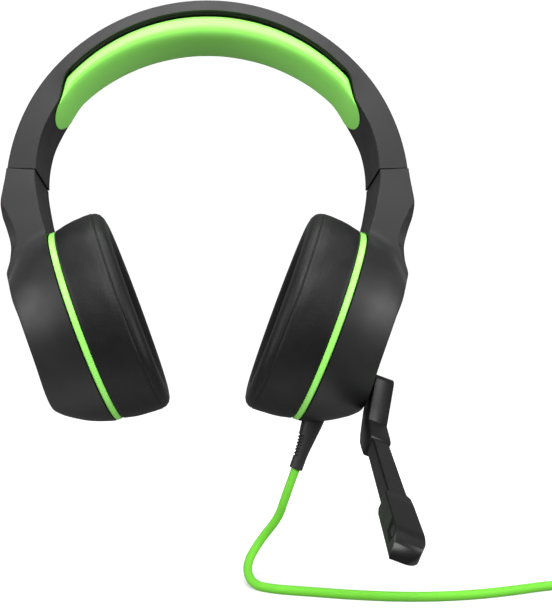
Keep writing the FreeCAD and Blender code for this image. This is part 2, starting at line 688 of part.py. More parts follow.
def make_cable():
    save("strain_relief", make_strain_relief())
    end = RELIEF_SECTIONS[-1][0]
    exit_point = cup_place().multVec(Vector(RELIEF_N, 0, end))
    print("cable exit", [round(v, 2) for v in exit_point])
    save("cable_core", place_cup(disc_down(end + CORE_LENGTH, end + 0.3, CABLE_R)))
    lead = tube("cable_lead", [tuple(exit_point)] + CABLE_ROUTE, CABLE_R)
    tail = tube("cable_tail", TAIL_ROUTE, CABLE_R)

    centre = Vector(COIL_CENTRE[0], COIL_CENTRE[1], FLOOR_Z)
    height = COIL_LAYERS * 2.0 * CABLE_R
    outer = Part.makeCylinder(COIL_TURN_R[-1] + CABLE_R, height, centre)
    inner = Part.makeCylinder(COIL_TURN_R[0] - CABLE_R, height, centre)
    save("cable_coil", outer.cut(inner))
    coiled = COIL_LAYERS * sum(2.0 * math.pi * r for r in COIL_TURN_R)
    print("whole cable", round(lead + tail + coiled, 0))

    reach = (COIL_TURN_R[0] - CABLE_R - 0.8, COIL_TURN_R[-1] + CABLE_R + 0.8)
    band = box((-reach[1], -reach[0]), (-3.0, 3.0), (0.0, height + 0.8))
    gap = box((-reach[1] + 0.8, -reach[0] - 0.8), (-4.0, 4.0), (0.8, height))
    tie = band.cut(gap)
    tie.translate(centre)
    save("cable_tie", tie)


def make_plug():
    heading = Vector(*PLUG_HEADING).normalize()
    start = Vector(*TAIL_ROUTE[-1]) + heading * 0.05
    boot = Part.makeCone(2.6, 3.4, 8.0, start, heading)
    body = Part.makeCylinder(PLUG_R, PLUG_LENGTH, start + heading * 8.0, heading)
    save("plug_body", joined([boot, body]))
    face = start + heading * (8.0 + PLUG_LENGTH)
    metal = []
    bands = []
    rings = ((0.0, 4.6), (5.2, 7.6), (8.2, 10.6))
    for low, high in rings:
        metal.append(Part.makeCylinder(CONTACT_R, high - low, face + heading * low, heading))
        bands.append(Part.makeCylinder(CONTACT_R, 0.6, face + heading * high, heading))
    tip_start = 11.2
    nose = Part.makeCone(CONTACT_R, 0.6, CONTACT_LENGTH - tip_start, face + heading * tip_start, heading)
    metal.append(nose)
    save("plug_contacts", Part.makeCompound(metal))
    save("plug_insulators", Part.makeCompound(bands))
    middle = face + heading * 2.3
    print("plug contact middle", [round(v, 3) for v in middle], "heading", [round(v, 4) for v in heading])


os.makedirs("parts", exist_ok=True)
make_headband()
make_ear_side()
make_shells()
make_boom()
make_volume_control()
make_cable()
make_plug()
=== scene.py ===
import json
import math

import bmesh
import bpy
import numpy as np
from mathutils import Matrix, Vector


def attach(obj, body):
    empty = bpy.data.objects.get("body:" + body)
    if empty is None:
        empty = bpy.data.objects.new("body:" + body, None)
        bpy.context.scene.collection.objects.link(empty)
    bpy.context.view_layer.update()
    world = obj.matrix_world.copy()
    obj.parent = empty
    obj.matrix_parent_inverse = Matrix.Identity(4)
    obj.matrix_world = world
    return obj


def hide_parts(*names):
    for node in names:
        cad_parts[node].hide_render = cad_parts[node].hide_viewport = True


# A gaming headset. Lengths below are in millimetres and become metres where a mesh is made.
# The frame's origin is the crown of the headband pad's underside; +X is the microphone side.

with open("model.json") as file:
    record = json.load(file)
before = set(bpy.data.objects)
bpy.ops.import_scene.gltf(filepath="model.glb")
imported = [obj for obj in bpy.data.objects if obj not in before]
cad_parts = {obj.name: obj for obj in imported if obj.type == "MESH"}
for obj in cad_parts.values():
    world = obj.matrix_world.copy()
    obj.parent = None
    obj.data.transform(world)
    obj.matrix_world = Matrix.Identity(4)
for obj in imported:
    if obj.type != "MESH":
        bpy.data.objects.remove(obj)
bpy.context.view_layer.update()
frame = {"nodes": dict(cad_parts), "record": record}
MM = 0.001

# ---- driving dimensions, as in the frame ----

BAND_CENTRE_Z = -75.0
BAND_HALF_WIDTH = 17.2
BAND_WALL = 1.8

# A right-hand cup's own frame: n outward, y backward, v up. Its origin is CUP_CENTRE, as (X, Z).
CUP_CENTRE = (56.33, -133.23)
CUP_TILT = math.radians(20.33)
CUP_WALL = 2.0
RIM_N = 1.7
RING_N = 1.1
RING_LENGTH = 45.9
RING_WIDTH = 38.5
RING_DEPTH = 2.8
# Outward places on the dome: its outer face's height, the fillet's end and the furthest that any of it goes.
FACE_N = 24.4
PLATE_N = 25.2
DOME_LIMIT = 26.4
# Up and down: where the arm's stations end, and where the outer face does.
ARM_FOOT_V = 25.2
FACE_BOTTOM = -33.6

MIC_PIVOT = (-4.7, -19.9)
MIC_HUB_R = 6.0
MIC_N = (26.6, 35.6)
BOOM_ORIGIN = (-44.7, -46.1)
BOOM_ANGLE = math.radians(15.94)
BOOM_LENGTH = 51.5
BOOM_N = (27.4, 34.9)
BOOM_HALF = 3.3
TIP_N = (26.0, 36.0)
TIP_LENGTH = 39.5

WHEEL_CENTRE = (27.5, -11.0)
WHEEL_R = 11.0
WHEEL_N = (8.2, 11.8)
WHEEL_GAP = 0.8

RELIEF_N = 7.7
RELIEF_Z = (-40.5, -67.0)
CABLE_R = 2.0
FLOOR_Z = -251.0
COIL_CENTRE = (206.0, 20.0)
COIL_TURN_R = (19.0, 23.0, 27.0)
COIL_LAYERS = 4
PLUG_HEADING = (0.0, 1.0, 0.0)
PLUG_LENGTH = 28.0

SIDES = (("right", 1.0), ("left", -1.0))


# ---- camera, first ----

CAMERA_HEIGHT = -161.0
CAMERA_BACK = -392.6
CAMERA_PITCH_UP = 5.46
CAMERA_LENS = 50.0
CAMERA_SENSOR = 36.0
CAMERA_SHIFT = 0.1123


def make_camera():
    data = bpy.data.cameras.new("camera")
    data.lens = CAMERA_LENS
    data.sensor_width = CAMERA_SENSOR
    data.sensor_fit = "AUTO"
    data.shift_x = CAMERA_SHIFT
    data.clip_start = 0.01
    camera = bpy.data.objects.new("camera", data)
    camera.location = (0.0, CAMERA_BACK * MM, CAMERA_HEIGHT * MM)
    camera.rotation_euler = (math.radians(90.0 + CAMERA_PITCH_UP), 0.0, 0.0)
    bpy.context.scene.collection.objects.link(camera)
    bpy.context.scene.camera = camera


make_camera()


# ---- the cable's line ----

LEAD_ROUTE = [
    (35.4, 0.6, -211.6),
    (32.8, 5.2, -221.4),
    (24.4, 10.8, -232.6),
    (17.4, 4.2, -242.4),
    (19.6, -5.6, -249.0),
    (29.4, -14.0, -249.0),
    (43.0, -18.0, -249.0),
    (60.0, -23.6, -249.0),
    (82.0, -27.6, -249.0),
    (105.0, -26.0, -249.0),
    (128.0, -18.2, -249.0),
    (150.0, -7.4, -249.0),
    (171.0, -1.6, -249.0),
    (188.0, -3.6, -249.0),
]
TAIL_ROUTE = [
    (233.4, 34.0, -238.2),
    (235.0, 46.0, -241.6),
    (237.6, 57.6, -245.4),
    (239.4, 69.0, -247.0),
    (239.4, 79.0, -247.0),
]
POINTS_PER_TURN = 16


def cup_to_part(n, y, v):
    """From a right-hand cup's frame (outward, backward, up) to the part's frame, in millimetres."""
    x = CUP_CENTRE[0] + n * math.cos(CUP_TILT) + v * math.sin(CUP_TILT)
    z = CUP_CENTRE[1] - n * math.sin(CUP_TILT) + v * math.cos(CUP_TILT)
    return (x, y, z)


def smoothstep(value, low, high):
    t = min(1.0, max(0.0, (value - low) / (high - low)))
    return t * t * (3.0 - 2.0 * t)


def coil_points():
    """The put-away turns: in and out across the coil's width, a layer at a time, from its front."""
    turns = []
    for layer in range(COIL_LAYERS):
        radii = COIL_TURN_R[::-1] if layer % 2 == 0 else COIL_TURN_R
        z = FLOOR_Z + CABLE_R * (2 * layer + 1)
        turns += [(radius, z) for radius in radii]
    turns.append(turns[-1])
    points = []
    last_turn = 0.25
    steps = int((len(turns) - 1 + last_turn) * POINTS_PER_TURN)
    for step in range(steps + 1):
        turn = step / POINTS_PER_TURN
        index = min(int(turn), len(turns) - 2)
        mix = smoothstep(turn - index, 0.72, 1.0)
        radius = turns[index][0] * (1 - mix) + turns[index + 1][0] * mix
        z = turns[index][1] * (1 - mix) + turns[index + 1][1] * mix
        angle = 2.0 * math.pi * turn - math.pi / 2.0
        x = COIL_CENTRE[0] + radius * math.cos(angle)
        y = COIL_CENTRE[1] + radius * math.sin(angle)
        points.append((x, y, z))
    return points


def make_cable():
    start = cup_to_part(RELIEF_N, 0.0, RELIEF_Z[1])
    route = [start] + LEAD_ROUTE + coil_points() + TAIL_ROUTE
    curve = bpy.data.curves.new("cable", "CURVE")
    curve.dimensions = "3D"
    spline = curve.splines.new("NURBS")
    spline.points.add(len(route) - 1)
    for point, place in zip(spline.points, route):
        point.co = (place[0] * MM, place[1] * MM, place[2] * MM, 1.0)
    spline.order_u = 3
    spline.use_endpoint_u = True
    spline.resolution_u = 8
    curve.bevel_depth = CABLE_R * MM
    curve.bevel_resolution = 6
    curve.use_fill_caps = True
    cable = bpy.data.objects.new("cable", curve)
    bpy.context.scene.collection.objects.link(cable)
    return cable, [c * MM for c in start]


cable, CABLE_EXIT = make_cable()


# ---- small tools ----

def curve_through(knots):
    """A smooth function through (place, value) knots, with no overshoot."""
    xs = np.array([k[0] for k in knots], float)
    ys = np.array([k[1] for k in knots], float)
    steps = np.diff(xs)
    slopes = np.diff(ys) / steps
    tangents = np.zeros(len(xs))
    tangents[0] = slopes[0]
    tangents[-1] = slopes[-1]
    for i in range(1, len(xs) - 1):
        if slopes[i - 1] * slopes[i] > 0:
            a = 2 * steps[i] + steps[i - 1]
            b = steps[i] + 2 * steps[i - 1]
            tangents[i] = (a + b) / (a / slopes[i - 1] + b / slopes[i])

    def value(x):
        x = min(max(x, xs[0]), xs[-1])
        i = min(int(np.searchsorted(xs, x, side="right")) - 1, len(xs) - 2)
        t = (x - xs[i]) / steps[i]
        h00 = 2 * t**3 - 3 * t**2 + 1
        h10 = t**3 - 2 * t**2 + t
        h01 = 3 * t**2 - 2 * t**3
        h11 = t**3 - t**2
        bend = h10 * steps[i] * tangents[i] + h11 * steps[i] * tangents[i + 1]
        return float(h00 * ys[i] + h01 * ys[i + 1] + bend)

    return value


def furthest(holds, low, high):
    """The last place from low to high where holds(place) is still true."""
    for _ in range(30):
        middle = (low + high) / 2
        if holds(middle):
            low = middle
        else:
            high = middle
    return low


def object_from(name, mesh):
    piece = bpy.data.objects.new(name, mesh)
    bpy.context.scene.collection.objects.link(piece)
    return piece


def mirrored_rows(rows, side):
    """Rows of points for one side; the left is the right's mirror image."""
    rows = [[(p[0] * side, p[1], p[2]) for p in row] for row in rows]
    return rows if side > 0 else [row[::-1] for row in rows]


def grid(name, rows, ring=False, loop=False, caps=(False, False), sharp=32.0):
    """A surface over rows of points. ring joins each row's ends, loop joins the last row to the first."""
    count = len(rows[0])
    vertices = [(p[0] * MM, p[1] * MM, p[2] * MM) for row in rows for p in row]
    faces = []
    for r in range(len(rows) if loop else len(rows) - 1):
        for c in range(count if ring else count - 1):
            a = r * count + c
            b = r * count + (c + 1) % count
            other = ((r + 1) % len(rows)) * count
            faces.append((a, b, other + (c + 1) % count, other + c))
    if caps[0]:
        faces.append(tuple(range(count))[::-1])
    if caps[1]:
        last = (len(rows) - 1) * count
        faces.append(tuple(last + c for c in range(count)))
    mesh = bpy.data.meshes.new(name)
    mesh.from_pydata(vertices, [], faces)
    tidy_mesh(mesh, sharp)
    return object_from(name, mesh)


def tidy_mesh(mesh, sharp=32.0):
    """Merge doubles, point the faces outward and smooth all but the sharp edges."""
    work = bmesh.new()
    work.from_mesh(mesh)
    bmesh.ops.remove_doubles(work, verts=work.verts, dist=1e-6)
    bmesh.ops.dissolve_degenerate(work, edges=work.edges, dist=1e-7)
    bmesh.ops.recalc_face_normals(work, faces=work.faces)
    work.to_mesh(mesh)
    work.free()
    mesh.shade_smooth()
    mesh.set_sharp_from_angle(angle=math.radians(sharp))


def apply_modifiers(piece, sharp=None):
    """Turn the piece's modifiers into plain mesh."""
    bpy.context.view_layer.update()
    evaluated = piece.evaluated_get(bpy.context.evaluated_depsgraph_get())
    mesh = bpy.data.meshes.new_from_object(evaluated)
    old = piece.data
    piece.modifiers.clear()
    piece.data = mesh
    bpy.data.meshes.remove(old)
    if sharp is not None:
        mesh.shade_smooth()
        mesh.set_sharp_from_angle(angle=math.radians(sharp))
    return piece


def thicken(piece, wall, rim_slot=0):
    """Give a sheet its wall thickness, inward."""
    solid = piece.modifiers.new("wall", "SOLIDIFY")
    solid.thickness = wall * MM
    solid.offset = -1.0
    solid.use_even_offset = True
    solid.material_offset_rim = rim_slot
    return apply_modifiers(piece, 32.0)


def aim_faces(piece, spot):
    """Turn a sheet over if needed, so that it faces the spot."""
    spot = Vector(spot) * MM
    mesh = piece.data
    facing = sum(face.area * face.normal.dot(spot - face.center) for face in mesh.polygons)
    if facing < 0.0:
        mesh.flip_normals()


def bevelled(piece, width, segments=2):
    """Round the piece's sharp edges."""
    bevel = piece.modifiers.new("bevel", "BEVEL")
    bevel.width = width * MM
    bevel.segments = segments
    bevel.limit_method = "ANGLE"
    bevel.angle_limit = math.radians(28.0)
    bevel.harden_normals = False
    return apply_modifiers(piece, 40.0)


def prism(name, outline, low, high, place, bevel):
    """An outline of (a, b) points given thickness; place(depth, a, b) puts a point in the part's frame."""
    rows = [[place(depth, a, b) for a, b in outline] for depth in (low, high)]
    piece = grid(name, rows, ring=True, caps=(True, True))
    return bevelled(piece, bevel)


def cut(piece, tool):
    """Remove the tool's volume from the piece."""
    boolean = piece.modifiers.new("cut", "BOOLEAN")
    boolean.operation = "DIFFERENCE"
    boolean.object = tool
    boolean.solver = "EXACT"
    apply_modifiers(piece, 32.0)
    bpy.data.objects.remove(tool)
    return piece


# ---- materials ----

def noise(nodes, links, coordinates, size_mm, detail=3.0):
    texture = nodes.new("ShaderNodeTexNoise")
    texture.inputs["Scale"].default_value = 1000.0 / size_mm
    texture.inputs["Detail"].default_value = detail
    links.new(coordinates.outputs["Object"], texture.inputs["Vector"])
    return texture


def spread(nodes, links, source, low, high):
    """Map a noise's middle range to low..high."""
    ramp = nodes.new("ShaderNodeMapRange")
    ramp.inputs["From Min"].default_value = 0.3
    ramp.inputs["From Max"].default_value = 0.7
    ramp.inputs["To Min"].default_value = low
    ramp.inputs["To Max"].default_value = high
    links.new(source, ramp.inputs["Value"])
    return ramp.outputs["Result"]


def tinted(nodes, links, factor, colour, variation):
    """A colour that wanders between a darker and a lighter tone of itself."""
    mix = nodes.new("ShaderNodeMix")
    mix.data_type = "RGBA"
    mix.inputs["A"].default_value = tuple(c * (1 - variation) for c in colour) + (1.0,)
    mix.inputs["B"].default_value = tuple(min(1.0, c * (1 + variation)) for c in colour) + (1.0,)
    links.new(factor, mix.inputs["Factor"])
    return mix.outputs["Result"]


def base_material(name, colour, rough, variation=0.12, patch_mm=14.0, rough_swing=0.05):
    """A principled surface whose colour and roughness wander a little. Returns its parts."""
    material = bpy.data.materials.new(name)
    material.use_nodes = True
    nodes = material.node_tree.nodes
    links = material.node_tree.links
    shader = nodes["Principled BSDF"]
    coordinates = nodes.new("ShaderNodeTexCoord")
    patches = noise(nodes, links, coordinates, patch_mm)
    links.new(tinted(nodes, links, patches.outputs["Fac"], colour, variation), shader.inputs["Base Color"])
    swing = spread(nodes, links, patches.outputs["Fac"], rough - rough_swing, rough + rough_swing)
    links.new(swing, shader.inputs["Roughness"])
    return material, nodes, links, shader, coordinates


def bump(nodes, links, shader, height, depth_mm, strength=1.0, over=None):
    node = nodes.new("ShaderNodeBump")
    node.inputs["Strength"].default_value = strength
    node.inputs["Distance"].default_value = depth_mm * MM
    links.new(height, node.inputs["Height"])
    if over is not None:
        links.new(over.outputs["Normal"], node.inputs["Normal"])
    links.new(node.outputs["Normal"], shader.inputs["Normal"])
    return node


def moulded(name, colour, rough, grain_mm=0.35, depth_mm=0.02, variation=0.1, specular=0.3):
    """Moulded plastic with a fine spark texture."""
    material, nodes, links, shader, coordinates = base_material(name, colour, rough, variation)
    shader.inputs["Specular IOR Level"].default_value = specular
    grain = noise(nodes, links, coordinates, grain_mm, 2.0)
    bump(nodes, links, shader, grain.outputs["Fac"], depth_mm, 0.6)
    return material


def leatherette(name, colour):
    """Synthetic leather: shallow pebbles with creases between them."""
    material, nodes, links, shader, coordinates = base_material(name, colour, 0.5, 0.16, 9.0, 0.06)
    pebbles = nodes.new("ShaderNodeTexVoronoi")
    pebbles.feature = "DISTANCE_TO_EDGE"
    pebbles.inputs["Scale"].default_value = 1000.0 / 1.1
    links.new(coordinates.outputs["Object"], pebbles.inputs["Vector"])
    crease = nodes.new("ShaderNodeMapRange")
    crease.inputs["From Max"].default_value = 0.12
    links.new(pebbles.outputs["Distance"], crease.inputs["Value"])
    first = bump(nodes, links, shader, crease.outputs["Result"], 0.035, 0.5)
    folds = noise(nodes, links, coordinates, 5.0, 4.0)
    bump(nodes, links, shader, folds.outputs["Fac"], 0.25, 0.35, first)
    shader.inputs["Specular IOR Level"].default_value = 0.2
    shader.inputs["Sheen Weight"].default_value = 0.02
    shader.inputs["Sheen Roughness"].default_value = 0.4
    return material


def knitted(name, colour, hole_mm=0.9):
    """An open knit: rows of small dark eyelets."""
    material, nodes, links, shader, coordinates = base_material(name, colour, 0.85, 0.2, 3.0)
    eyelets = nodes.new("ShaderNodeTexVoronoi")
    eyelets.inputs["Scale"].default_value = 1000.0 / hole_mm
    eyelets.inputs["Randomness"].default_value = 0.15
    links.new(coordinates.outputs["Object"], eyelets.inputs["Vector"])
    bump(nodes, links, shader, eyelets.outputs["Distance"], 0.2, 0.9)
    return material


def brushed(name, colour, rough):
    """Metal strip with fine lines along it."""
    material, nodes, links, shader, coordinates = base_material(name, colour, rough, 0.08, 6.0)
    shader.inputs["Metallic"].default_value = 1.0
    stretch = nodes.new("ShaderNodeMapping")
    stretch.inputs["Scale"].default_value = (6.0, 6.0, 0.4)
    links.new(coordinates.outputs["Object"], stretch.inputs["Vector"])
    lines = nodes.new("ShaderNodeTexNoise")
    lines.inputs["Scale"].default_value = 700.0
    links.new(stretch.outputs["Vector"], lines.inputs["Vector"])
    bump(nodes, links, shader, lines.outputs["Fac"], 0.01, 0.5)
    return material


def skinned_foam(name, colour):
    """Smooth self-skinned foam: satin, with a soft sheen and a faint orange peel."""
    material, nodes, links, shader, coordinates = base_material(name, colour, 0.42, 0.06, 22.0, 0.04)
    peel = noise(nodes, links, coordinates, 1.6, 2.0)
    bump(nodes, links, shader, peel.outputs["Fac"], 0.03, 0.35)
    shader.inputs["Subsurface Weight"].default_value = 0.15
    shader.inputs["Subsurface Scale"].default_value = 0.003
    shader.inputs["Sheen Weight"].default_value = 0.08
    return material


SHELL_GREY = moulded("shell_grey", (0.009, 0.009, 0.0092), 0.46, 0.4, 0.02, 0.08)
INNER_BLACK = moulded("inner_black", (0.007, 0.007, 0.0072), 0.45, 0.5, 0.03, 0.12)
BOOM_BLACK = moulded("boom_black", (0.003, 0.003, 0.0032), 0.36, 0.4, 0.02, 0.1)
ACCENT_GREEN = moulded("accent_green", (0.27, 0.75, 0.12), 0.34, 0.8, 0.008, 0.05, 0.5)
PAD_GREEN = skinned_foam("pad_green", (0.29, 0.86, 0.12))
LEATHERETTE = leatherette("leatherette", (0.005, 0.005, 0.0052))
SLEEVE_KNIT = knitted("sleeve_knit", (0.014, 0.014, 0.015))
SCRIM = knitted("scrim_fabric", (0.02, 0.02, 0.021), 1.2)
STEEL = brushed("spring_steel", (0.56, 0.57, 0.58), 0.32)
SCREW = brushed("screw_steel", (0.42, 0.43, 0.44), 0.38)
MAGNET = brushed("magnet_steel", (0.5, 0.5, 0.51), 0.45)
FILM = moulded("diaphragm_film", (0.6, 0.6, 0.62), 0.25, 2.0, 0.01, 0.05)
WIRE = moulded("wire_jacket", (0.02, 0.02, 0.02), 0.5)
CAPSULE = brushed("capsule_metal", (0.7, 0.7, 0.71), 0.35)
BOARD = moulded("board_green", (0.02, 0.16, 0.07), 0.4, 1.0, 0.01, 0.2)
RUBBER = moulded("wheel_rubber", (0.016, 0.016, 0.017), 0.62, 0.3, 0.03, 0.14)
RELIEF = moulded("relief_rubber", (0.011, 0.011, 0.0112), 0.5, 0.4, 0.03, 0.12)
CABLE_GREEN = moulded("cable_green", (0.12, 0.44, 0.032), 0.6, 1.2, 0.02, 0.06, 0.12)
TIE = moulded("tie_black", (0.02, 0.02, 0.02), 0.6, 0.3, 0.02)
GOLD = brushed("plug_metal", (0.83, 0.66, 0.36), 0.22)

NODE_MATERIALS = {
    "shell_grey": SHELL_GREY,
    "inner_black": INNER_BLACK,
    "boom_black": BOOM_BLACK,
    "accent_green": ACCENT_GREEN,
    "pad_green": PAD_GREEN,
    "leatherette": LEATHERETTE,
    "scrim_fabric": SCRIM,
    "spring_steel": STEEL,
    "screw_steel": SCREW,
    "magnet_steel": MAGNET,
    "diaphragm_film": FILM,
    "wire_jacket": WIRE,
    "capsule_metal": CAPSULE,
    "board_green": BOARD,
    "wheel_rubber": RUBBER,
    "relief_rubber": RELIEF,
    "cable_green": CABLE_GREEN,
    "tie_black": TIE,
    "plug_metal": GOLD,
}


def dress_nodes():
    """Give every carried-over node the finish of its material slot."""
    slots = {s["node"]: s["material_slot"] for s in frame["record"]["subparts"]}
    for name, node in frame["nodes"].items():
        node.data.materials.clear()
        node.data.materials.append(NODE_MATERIALS[slots[name]])


def dress(piece, *materials):
    piece.data.materials.clear()
    for material in materials:
        piece.data.materials.append(material)
    return piece


dress_nodes()


# ---- headband ----

# The radius of the headband's inner edge and of its outer face, by angle from the top.
band_edge = curve_through([
    (0.0, 86.2), (48.0, 86.2), (49.2, 86.0), (50.7, 85.2), (52.7, 83.6), (54.9, 82.0),
    (57.9, 80.6), (63.0, 80.5), (68.0, 80.5), (74.8, 79.8), (81.4, 78.6), (84.0, 78.0),
])
band_outer = curve_through([
    (0.0, 91.6), (25.0, 91.7), (45.0, 92.0), (58.0, 92.2), (70.0, 92.0), (81.4, 91.7), (84.0, 91.6),
])
BAND_END_ANGLE = 84.0
COVER_FROM_ANGLE = 44.0
COVER_INSET = 0.05
EDGE_CHAMFER = 0.5
# The flanks lean in a little towards the outer face.
FLANK_DRAFT = 0.9
# The seam between headband and arm: a point of it, how it rises outward and falls backward, and its gap.
SEAM_INNER = (77.7, -63.1)
SEAM_RISE = 0.055
SEAM_DROP = 0.064
SEAM_GAP = 0.55


def on_band(radius, angle, y):
    turn = math.radians(angle)
    return (radius * math.sin(turn), y, BAND_CENTRE_Z + radius * math.cos(turn))


def trimmed(piece, side, keep_above, gap=0.0):
    """Cut a piece off at the seam and close it."""
    work = bmesh.new()
    work.from_mesh(piece.data)
    place = Vector((side * SEAM_INNER[0], -BAND_HALF_WIDTH, SEAM_INNER[1] - gap)) * MM
    normal = Vector((-side * SEAM_RISE, SEAM_DROP, 1.0))
    parts = list(work.verts) + list(work.edges) + list(work.faces)
    near = [p for p in parts if isinstance(p, bmesh.types.BMVert) and p.co.x * side > 0.0]
    chosen = set(near)
    geometry = near
    geometry += [e for e in work.edges if e.verts[0] in chosen and e.verts[1] in chosen]
    geometry += [f for f in work.faces if all(v in chosen for v in f.verts)]
    bmesh.ops.bisect_plane(work, geom=geometry, plane_co=place, plane_no=normal,
                           clear_inner=keep_above, clear_outer=not keep_above)
    work.to_mesh(piece.data)
    work.free()
    return piece


def make_headband_shell():
    """A channel: outer face, two flanks that lean in a little, and chamfered corners."""
    rows = []
    for angle in np.linspace(-BAND_END_ANGLE, BAND_END_ANGLE, 145):
        edge = band_edge(abs(angle)) + 0.15
        outer = band_outer(abs(angle))
        corner = outer - EDGE_CHAMFER
        depth = corner - edge
        flank = [(edge + depth * k / 5, FLANK_DRAFT * k / 5 - BAND_HALF_WIDTH) for k in range(6)]
        face_half = BAND_HALF_WIDTH - FLANK_DRAFT - EDGE_CHAMFER
        face = [(outer, face_half * (k / 6 - 1)) for k in range(13)]
        back = [(radius, -y) for radius, y in reversed(flank)]
        rows.append([on_band(radius, angle, y) for radius, y in flank + face + back])
    shell = grid("headband_outer", rows)
    for _, side in SIDES:
        trimmed(shell, side, True)
    dress(shell, SHELL_GREY, INNER_BLACK)
    thicken(shell, BAND_WALL, 1)
    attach(shell, "headband")
    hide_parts("headband_shell")


def make_band_covers():
    """The black inner face of each end of the headband."""
    for label, side in SIDES:
        rows = []
        for angle in np.linspace(COVER_FROM_ANGLE, BAND_END_ANGLE, 61):
            edge = band_edge(angle)
            half = BAND_HALF_WIDTH - COVER_INSET
            section = [(edge + 0.3, -half), (edge, 0.3 - half), (edge, half - 0.3), (edge + 0.3, half)]
            rows.append([on_band(radius, angle, y) for radius, y in section])
        cover = grid("headband_inner_cover_" + label, mirrored_rows(rows, side))
        trimmed(cover, side, True)
        aim_faces(cover, (0.0, 0.0, BAND_CENTRE_Z))
        dress(cover, INNER_BLACK)
        thicken(cover, BAND_WALL)
        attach(cover, "headband")
        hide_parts("headband_cover_" + label)


# The pad: its underside's radius, by angle from the top, and its half-width.
PAD_TIP = 62.8
pad_under = curve_through([
    (0.0, 75.0), (12.0, 75.25), (24.0, 76.1), (33.0, 77.0), (44.0, 78.4), (52.0, 79.3), (57.0, 79.5),
    (60.0, 79.8), (PAD_TIP, 80.3),
])
PAD_HALF_WIDTH = 15.3
PAD_ROUND_FROM = 57.0
PAD_TOP = 85.9
# Below 1 these powers square the section off: across it, above its middle and below it.
PAD_SIDE_POWER = 0.54
PAD_UPPER_POWER = 0.42
PAD_LOWER_POWER = 0.8


def signed_power(value, power):
    return math.copysign(abs(value) ** power, value)


def pad_section(angle):
    """A rounded section: soft lower corners, tighter upper ones."""
    a = abs(angle)
    under = pad_under(a)
    top = min(PAD_TOP, band_edge(a) - 0.1)
    taper = max(0.0, (a - PAD_ROUND_FROM) / (PAD_TIP - PAD_ROUND_FROM))
    width = PAD_HALF_WIDTH * math.sqrt(max(0.0, 1.0 - taper**2))
    middle = (top + under) / 2
    half = max(0.05, (top - under) / 2) * math.sqrt(max(0.0, 1.0 - taper**6))
    points = []
    for k in range(48):
        t = 2 * math.pi * k / 48
        y = signed_power(math.cos(t), PAD_SIDE_POWER) * width
        lift = math.sin(t)
        power = PAD_LOWER_POWER if lift < 0 else PAD_UPPER_POWER
        radius = middle + signed_power(lift, power) * half
        points.append(on_band(radius, angle, y))
    return points


def make_pad():
    angles = [PAD_TIP * math.sin(math.pi / 2 * k / 90) for k in range(-90, 91)]
    rows = [pad_section(angle) for angle in angles]
    pad = grid("headband_cushion", rows, ring=True, caps=(True, True), sharp=60.0)
    dress(pad, PAD_GREEN)
    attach(pad, "headband")
    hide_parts("headband_pad")


# ---- arm and cup ----

# Inner and outer edge of the arm at matching stations, as (X, Z); then of the cup, as (n, v) in its frame.
ARM_STATIONS = [
    ((77.9, -60.5), (90.6, -58.7)),
    ((78.2, -66.0), (91.5, -66.5)),
    ((77.7, -71.0), (92.6, -72.9)),
    ((76.4, -78.2), (93.5, -79.9)),
    ((75.0, -84.6), (92.7, -85.6)),
    ((73.8, -88.6), (91.0, -90.6)),
    ((72.7, -92.0), (89.5, -95.6)),
]
CUP_STATIONS = [
    ((1.9, 41.4), (18.6, 42.8)),
    ((RIM_N, 38.4), (20.4, 37.9)),
    ((RIM_N, 35.0), (23.8, 32.1)),
    ((RIM_N, 30.5), (24.25, 28.4)),
    ((RIM_N, ARM_FOOT_V), (FACE_N, ARM_FOOT_V)),
]
# How far the dome's side leans in, by distance outward, and the same the other way round.
LEAN_KNOTS = [
    (RIM_N, 0.0), (4.4, 0.8), (9.6, 2.6), (14.0, 4.6), (17.9, 6.9), (20.2, 8.4), (22.6, 10.1),
    (24.8, 12.1), (26.5, 13.9),
]
lean = curve_through(LEAN_KNOTS)
lean_reach = curve_through([(inward, n) for n, inward in LEAN_KNOTS])
# Width of the chamfer on the arm's outer edges, by station.
edge_chamfer = curve_through([
    (0.0, 0.5), (2.4, 0.6), (3.0, 1.4), (3.6, 3.0), (4.5, 3.9), (5.6, 4.2), (6.6, 3.4), (7.4, 1.8),
    (8.4, 0.8), (9.5, 0.5), (12.0, 0.5),
])
# The arm's flank swells into the dome: the fillet's size from the rim to the outer face, and where the
# cup's oval stops, as a share of its length, and how fast its width falls from there on.
swell_blend = curve_through([(0.0, 5.0), (0.5, 8.0), (1.0, 3.0)])
SWELL_SHARE = 0.83
SWELL_SLOPE = 1.2
SIDE_STEPS = 28
FACE_STEPS = 12
ARM_ROWS = 150
DOME_ROWS = 60
BOTTOM_ROWS = 39


def part_to_cup(x, z):
    """From the part's frame to a right-hand cup's frame (outward, up)."""
    dx = x - CUP_CENTRE[0]
    dz = z - CUP_CENTRE[1]
    n = dx * math.cos(CUP_TILT) - dz * math.sin(CUP_TILT)
    v = dx * math.sin(CUP_TILT) + dz * math.cos(CUP_TILT)
    return (n, v)


def flank_half_width(n, v):
    """Half the cup's width at this distance from the rim: the arm's flank, swelling into the dome."""
    length = RING_LENGTH - lean(n)
    width = RING_WIDTH - lean(n)
    over = max(0.0, v - SWELL_SHARE * length)
    inside = 1.0 - ((v - over) / length) ** 2
    oval = width * math.sqrt(max(0.0, inside)) - SWELL_SLOPE * over
    if v < 0.0:
        return oval
    excess = oval - BAND_HALF_WIDTH
    blend = swell_blend(min(1.0, (n - RIM_N) / (PLATE_N - RIM_N)))
    near = max(blend - abs(excess), 0.0) / blend
    return BAND_HALF_WIDTH + max(excess, 0.0) + near * near * blend * 0.25


